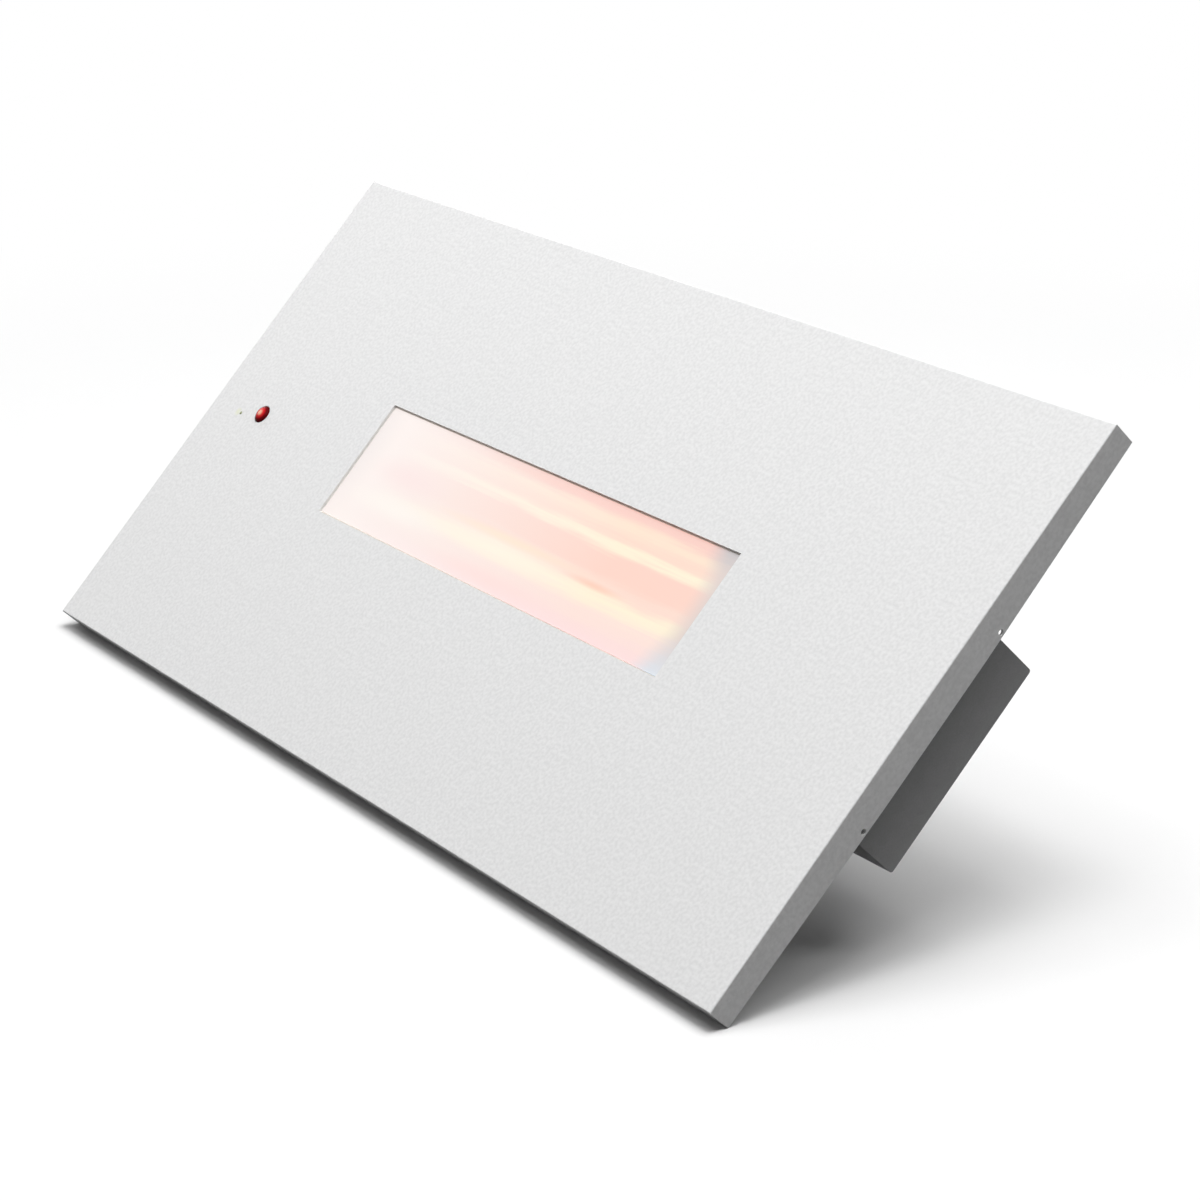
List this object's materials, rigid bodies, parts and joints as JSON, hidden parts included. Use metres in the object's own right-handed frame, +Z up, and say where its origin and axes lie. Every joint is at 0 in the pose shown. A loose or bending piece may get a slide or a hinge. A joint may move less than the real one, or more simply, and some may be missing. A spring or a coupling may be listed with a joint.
{
  "type": "infrared heater lamp",
  "caption": "Wall or ceiling infrared heater: flat front tray with a long milky window over two lamps, a red push button and a shallow housing behind.",
  "frame": {"origin": "middle of the flat back of the housing, on the mounting plane, at the centre of the four fixing holes", "axes": "+X along the front plate, to the right as seen from the front; +Y backwards, into the wall or ceiling; +Z up; the front faces -Y"},
  "size_m": [0.6, 0.0606, 0.3],
  "materials": {
    "white_powder_coat": "fine-structure matt powder coat",
    "zinc_coated_sheet": "satin zinc coating",
    "plated_steel": "bright zinc plating",
    "spring_steel": "plain rolled",
    "brass": "turned",
    "milky_glass": "satin-etched glass-ceramic, lit from behind",
    "fibre_gasket": "pressed ceramic fibre",
    "bright_aluminium": "brightened and anodised",
    "aluminised_sheet": "aluminised, satin",
    "quartz": "clear fused quartz",
    "carbon": "matt carbon strip",
    "ceramic": "unglazed steatite",
    "board_laminate": "solder resist",
    "dark_moulding": "moulded",
    "pale_moulding": "moulded",
    "can_sleeve": "shrunk sleeve",
    "red_moulding": "glossy moulding",
    "light_pipe_plastic": "clear tinted moulding",
    "black_rubber": "moulded rubber",
    "brown_insulation": "silicone",
    "blue_insulation": "silicone",
    "green_yellow_insulation": "silicone",
    "white_insulation": "braided glass sleeve"
  },
  "bodies": {
    "heater": {"board_screws": "plated_steel", "board_spacers": "plated_steel", "button_guide": "dark_moulding", "cable_grommet": "black_rubber", "capacitor": "can_sleeve", "control_board": "board_laminate", "cord_clamp": "zinc_coated_sheet", "cutout_leads": "white_insulation", "earth_nut": "plated_steel", "earth_stud": "plated_steel", "earth_wire": "green_yellow_insulation", "end_cap_left": "zinc_coated_sheet", "end_cap_right": "zinc_coated_sheet", "filament_lower": "carbon", "filament_upper": "carbon", "fixing_nuts": "plated_steel", "front_plate": "white_powder_coat", "glass_clips": "spring_steel", "glass_gasket": "fibre_gasket", "heat_shield": "aluminised_sheet", "housing_channel": "zinc_coated_sheet", "housing_nuts": "plated_steel", "housing_studs": "plated_steel", "lamp_bracket_left": "zinc_coated_sheet", "lamp_bracket_right": "zinc_coated_sheet", "lamp_cap_lower_left": "ceramic", "lamp_cap_lower_right": "ceramic", "lamp_cap_upper_left": "ceramic", "lamp_cap_upper_right": "ceramic", "lamp_connector": "pale_moulding", "lamp_jumper": "white_insulation", "light_emitter": "pale_moulding", "light_pipe": "light_pipe_plastic", "live_wire": "brown_insulation", "lower_lamp_lead": "white_insulation", "mains_connector": "pale_moulding", "mains_screws": "plated_steel", "neutral_wire": "blue_insulation", "partition": "zinc_coated_sheet", "partition_edgings": "black_rubber", "power_relay": "dark_moulding", "quartz_tube_lower": "quartz", "quartz_tube_upper": "quartz", "reflector": "bright_aluminium", "reflector_end_left": "bright_aluminium", "reflector_end_right": "bright_aluminium", "sensor_connector": "pale_moulding", "switch_body": "dark_moulding", "terminal_block": "ceramic", "terminal_screws": "brass", "thermal_cutout": "dark_moulding", "transformer": "dark_moulding", "upper_lamp_lead": "white_insulation", "window_glass": "milky_glass"},
    "button": {"button_cap": "red_moulding", "switch_plunger": "pale_moulding"}
  },
  "joints": [
    {"name": "button_press", "type": "slide", "parent": "heater", "child": "button", "axis": [0, 1, 0], "range_m": [0, 0.0015], "stiffness_N_per_m": 900}
  ]
}
